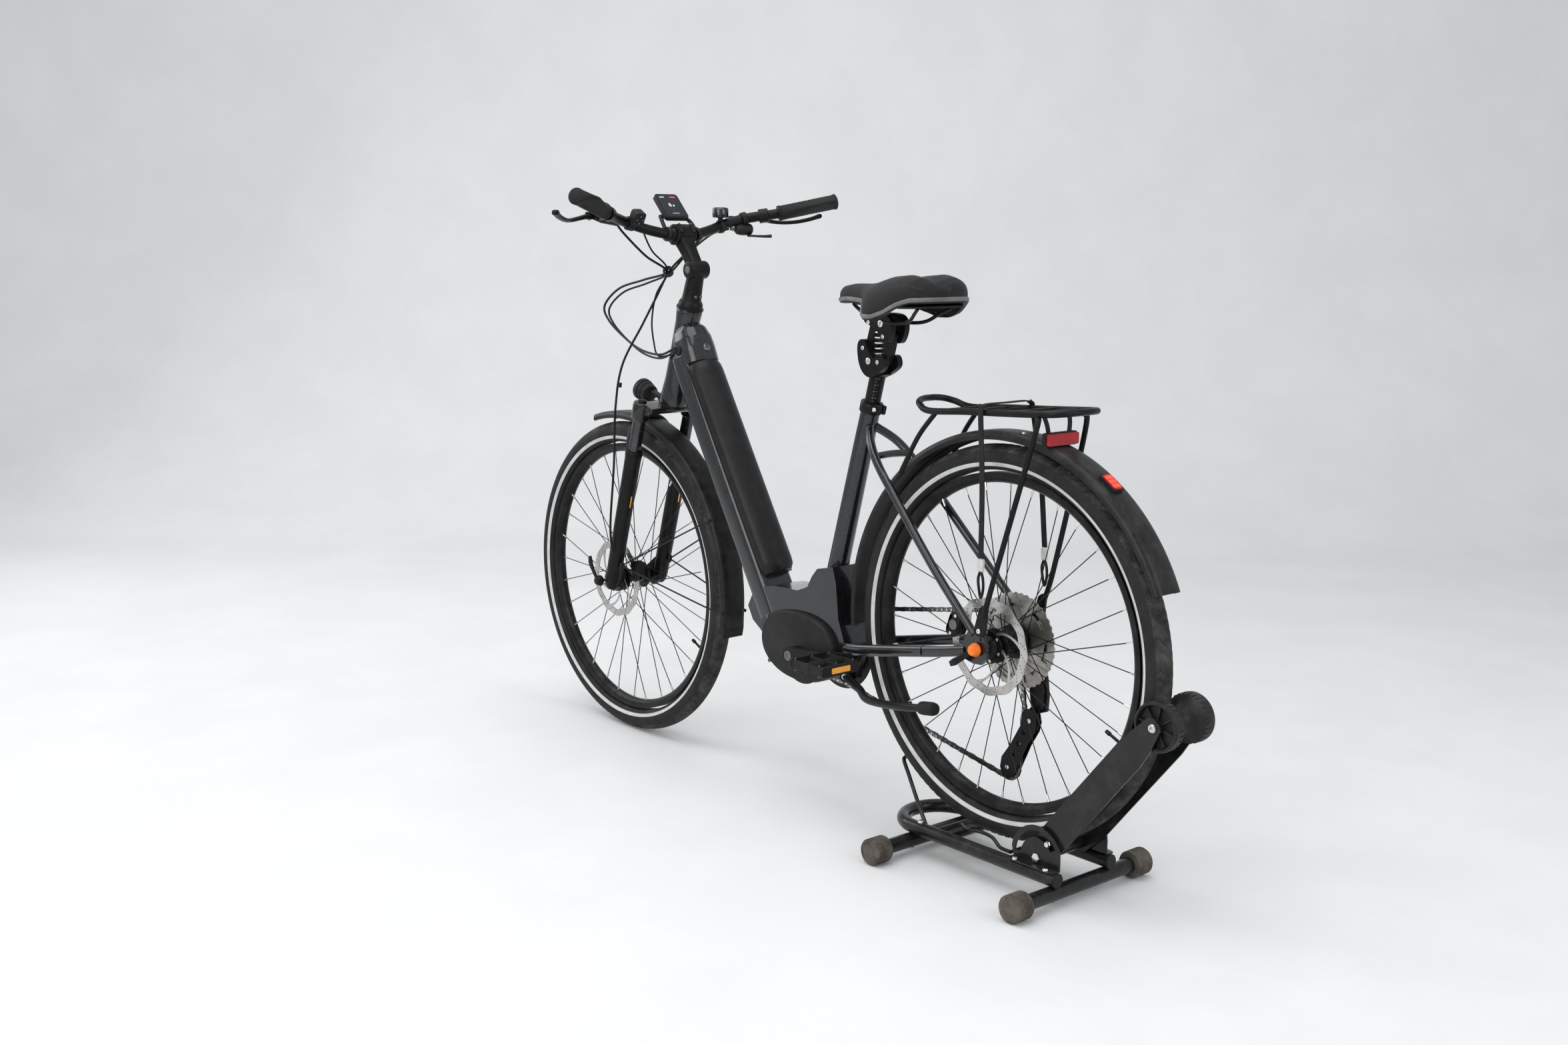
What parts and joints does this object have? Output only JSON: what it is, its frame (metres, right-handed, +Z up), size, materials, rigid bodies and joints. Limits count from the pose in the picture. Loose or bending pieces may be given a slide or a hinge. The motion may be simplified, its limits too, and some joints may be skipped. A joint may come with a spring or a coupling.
{
  "type": "bicycle on floor stand",
  "caption": "Step-through electric touring bicycle whose rear wheel stands in a low tubular floor stand with a sprung roller arm",
  "frame": {"origin": "on the floor under the middle of the whole length and width", "axes": "+X forward, +Y to the rider's left, +Z up"},
  "size_m": [1.9443, 0.7182, 1.2371],
  "materials": {
    "frame_paint": "gloss dark metallic paint over aluminium",
    "satin_black": "satin black",
    "stand_paint": "semi-gloss black powder coat",
    "tyre": "matte rubber with a reflective ring",
    "rubber": "matte",
    "black_plastic": "satin moulded",
    "steel": "brushed",
    "screen": "gloss",
    "saddle_cover": "matte grained cover over foam"
  },
  "bodies": {
    "stand": {"stand_base": "stand_paint", "stand_front_tube": "stand_paint", "stand_rear_tube": "stand_paint", "stand_pivot_bolt": "steel"},
    "stand_arm": {"stand_arm": "stand_paint"},
    "stand_roller": {"stand_roller": "black_plastic"},
    "frame": {"main_frame": "frame_paint", "motor_unit": "black_plastic", "rear_carrier": "satin_black", "rear_mudguard": "black_plastic", "rear_caliper": "satin_black", "derailleur_body": "satin_black", "chain": "steel", "rear_brake_hose": "rubber"},
    "battery": {"battery_pack": "black_plastic", "battery_cover": "black_plastic"},
    "battery_lock": {"battery_lock": "steel"},
    "kickstand": {"kickstand": "satin_black"},
    "rear_wheel": {"rear_tyre": "tyre", "rear_rim": "satin_black", "rear_hub": "satin_black", "rear_rotor": "steel"},
    "cassette": {"cassette": "steel"},
    "rear_quick_release": {"rear_quick_release": "satin_black"},
    "derailleur_cage": {"derailleur_cage": "satin_black"},
    "upper_pulley": {"upper_pulley": "black_plastic"},
    "lower_pulley": {"lower_pulley": "black_plastic"},
    "crank": {"crank_left": "satin_black", "crank_right": "satin_black"},
    "pedal_left": {"pedal_left": "black_plastic"},
    "pedal_right": {"pedal_right": "black_plastic"},
    "steering": {"fork_crown": "frame_paint", "headlight": "black_plastic", "stem": "satin_black", "handlebar": "satin_black", "grip_left": "rubber", "grip_right": "rubber", "brake_body_left": "satin_black", "brake_body_right": "satin_black", "shifter": "black_plastic", "display": "screen", "remote": "black_plastic", "bell": "black_plastic", "front_brake_hose": "rubber"},
    "fork_lowers": {"fork_lowers": "satin_black", "front_mudguard": "black_plastic", "front_caliper": "satin_black"},
    "front_wheel": {"front_tyre": "tyre", "front_rim": "satin_black", "front_hub": "satin_black", "front_rotor": "steel"},
    "front_quick_release": {"front_quick_release": "satin_black"},
    "brake_lever_left": {"brake_lever_left": "satin_black"},
    "brake_lever_right": {"brake_lever_right": "satin_black"},
    "shift_lever": {"shift_lever": "black_plastic"},
    "seatpost": {"seatpost": "satin_black"},
    "post_link_front": {"post_link_front": "satin_black"},
    "post_link_rear": {"post_link_rear": "satin_black"},
    "saddle": {"saddle_frame": "black_plastic", "saddle_pad": "saddle_cover"}
  },
  "joints": [
    {"name": "lift_out", "type": "slide", "parent": "stand", "child": "frame", "axis": [0, 0, 1], "range_m": [0, 0.42]},
    {"name": "roller_arm", "type": "hinge", "parent": "stand", "child": "stand_arm", "pos_m": [-0.702, 0, 0.077], "axis": [0, -1, 0], "range_deg": [0, 10], "stiffness_Nm_per_rad": 6, "springref_deg": -68.75},
    {"name": "roller_spin", "type": "hinge", "parent": "stand_arm", "child": "stand_roller", "pos_m": [-0.932, 0, 0.364], "axis": [0, 1, 0], "continuous": true},
    {"name": "rear_wheel_spin", "type": "hinge", "parent": "frame", "child": "rear_wheel", "pos_m": [-0.558, 0, 0.4247], "axis": [0, 1, 0], "continuous": true},
    {"name": "cassette_spin", "type": "hinge", "parent": "frame", "child": "cassette", "pos_m": [-0.558, 0, 0.4247], "axis": [0, 1, 0], "continuous": true},
    {"name": "rear_quick_release_turn", "type": "hinge", "parent": "frame", "child": "rear_quick_release", "pos_m": [-0.558, 0, 0.4247], "axis": [0, 1, 0], "continuous": true},
    {"name": "crank_spin", "type": "hinge", "parent": "frame", "child": "crank", "pos_m": [-0.058, 0, 0.316], "axis": [0, 1, 0], "continuous": true},
    {"name": "pedal_left_spin", "type": "hinge", "parent": "crank", "child": "pedal_left", "pos_m": [-0.22861, 0, 0.3415], "axis": [0, 1, 0], "continuous": true},
    {"name": "pedal_right_spin", "type": "hinge", "parent": "crank", "child": "pedal_right", "pos_m": [0.1126, 0, 0.2905], "axis": [0, 1, 0], "continuous": true},
    {"name": "derailleur_swing", "type": "hinge", "parent": "frame", "child": "derailleur_cage", "pos_m": [-0.579, 0, 0.275], "axis": [0, -1, 0], "range_deg": [0, 25], "stiffness_Nm_per_rad": 0.4, "springref_deg": -85.94, "deforming": ["chain"]},
    {"name": "upper_pulley_spin", "type": "hinge", "parent": "derailleur_cage", "child": "upper_pulley", "pos_m": [-0.579, 0, 0.275], "axis": [0, 1, 0], "continuous": true},
    {"name": "lower_pulley_spin", "type": "hinge", "parent": "derailleur_cage", "child": "lower_pulley", "pos_m": [-0.529, 0, 0.175], "axis": [0, 1, 0], "continuous": true},
    {"name": "battery_tilt", "type": "hinge", "parent": "frame", "child": "battery", "pos_m": [0.08345, 0, 0.44879], "axis": [0, -1, 0], "range_deg": [0, 12]},
    {"name": "lock_turn", "type": "hinge", "parent": "frame", "child": "battery_lock", "pos_m": [0.33131, 0, 0.902], "axis": [-0.8541, 0, 0.5201], "range_deg": [0, 90]},
    {"name": "kickstand_fold", "type": "hinge", "parent": "frame", "child": "kickstand", "pos_m": [-0.206, 0.066, 0.3], "axis": [0.232, -0.9551, -0.184], "range_deg": [0, 108]},
    {"name": "steering_turn", "type": "hinge", "parent": "frame", "child": "steering", "pos_m": [0.442, 0, 0.778], "axis": [-0.2819, 0, 0.9594], "range_deg": [-40, 40], "deforming": ["rear_brake_hose"]},
    {"name": "fork_travel", "type": "slide", "parent": "steering", "child": "fork_lowers", "axis": [-0.2819, 0, 0.9594], "range_m": [0, 0.03], "stiffness_N_per_m": 8000, "springref_m": -0.03, "deforming": ["front_brake_hose"]},
    {"name": "front_wheel_spin", "type": "hinge", "parent": "fork_lowers", "child": "front_wheel", "pos_m": [0.609, 0, 0.361], "axis": [0, 1, 0], "continuous": true},
    {"name": "front_quick_release_turn", "type": "hinge", "parent": "fork_lowers", "child": "front_quick_release", "pos_m": [0.609, 0, 0.361], "axis": [0, 1, 0], "continuous": true},
    {"name": "brake_lever_left_pull", "type": "hinge", "parent": "steering", "child": "brake_lever_left", "pos_m": [0.434, 0.222, 1.184], "axis": [0.1053, -0.1752, 0.9789], "range_deg": [0, 14], "stiffness_Nm_per_rad": 1.5, "springref_deg": -22.92},
    {"name": "brake_lever_right_pull", "type": "hinge", "parent": "steering", "child": "brake_lever_right", "pos_m": [0.434, -0.222, 1.184], "axis": [-0.1053, -0.1752, -0.9789], "range_deg": [0, 14], "stiffness_Nm_per_rad": 1.5, "springref_deg": -22.92},
    {"name": "shift_lever_push", "type": "hinge", "parent": "steering", "child": "shift_lever", "pos_m": [0.394, -0.182, 1.144], "axis": [0, 0, -1], "range_deg": [0, 20], "stiffness_Nm_per_rad": 0.5, "springref_deg": -22.92},
    {"name": "post_height", "type": "slide", "parent": "frame", "child": "seatpost", "axis": [-0.2644, 0, 0.9644], "range_m": [-0.035, 0.08]},
    {"name": "post_link_swing", "type": "hinge", "parent": "seatpost", "child": "post_link_front", "pos_m": [-0.196, 0, 0.936], "axis": [0, -1, 0], "range_deg": [0, 30], "stiffness_Nm_per_rad": 30, "springref_deg": -22.92},
    {"name": "post_rear_link_swing", "type": "hinge", "parent": "seatpost", "child": "post_link_rear", "pos_m": [-0.237, 0, 0.911], "axis": [0, -1, 0], "range_deg": [0, 30]},
    {"name": "saddle_level", "type": "hinge", "parent": "post_link_front", "child": "saddle", "pos_m": [-0.211, 0, 0.985], "axis": [0, -1, 0], "range_deg": [-30, 0]}
  ],
  "couplings": [
    {"joint": "cassette_spin", "follows": "crank_spin", "ratio": 1.4615},
    {"joint": "upper_pulley_spin", "follows": "crank_spin", "ratio": -3.619},
    {"joint": "lower_pulley_spin", "follows": "crank_spin", "ratio": 3.619},
    {"joint": "post_rear_link_swing", "follows": "post_link_swing", "ratio": 1},
    {"joint": "saddle_level", "follows": "post_link_swing", "ratio": -1}
  ]
}
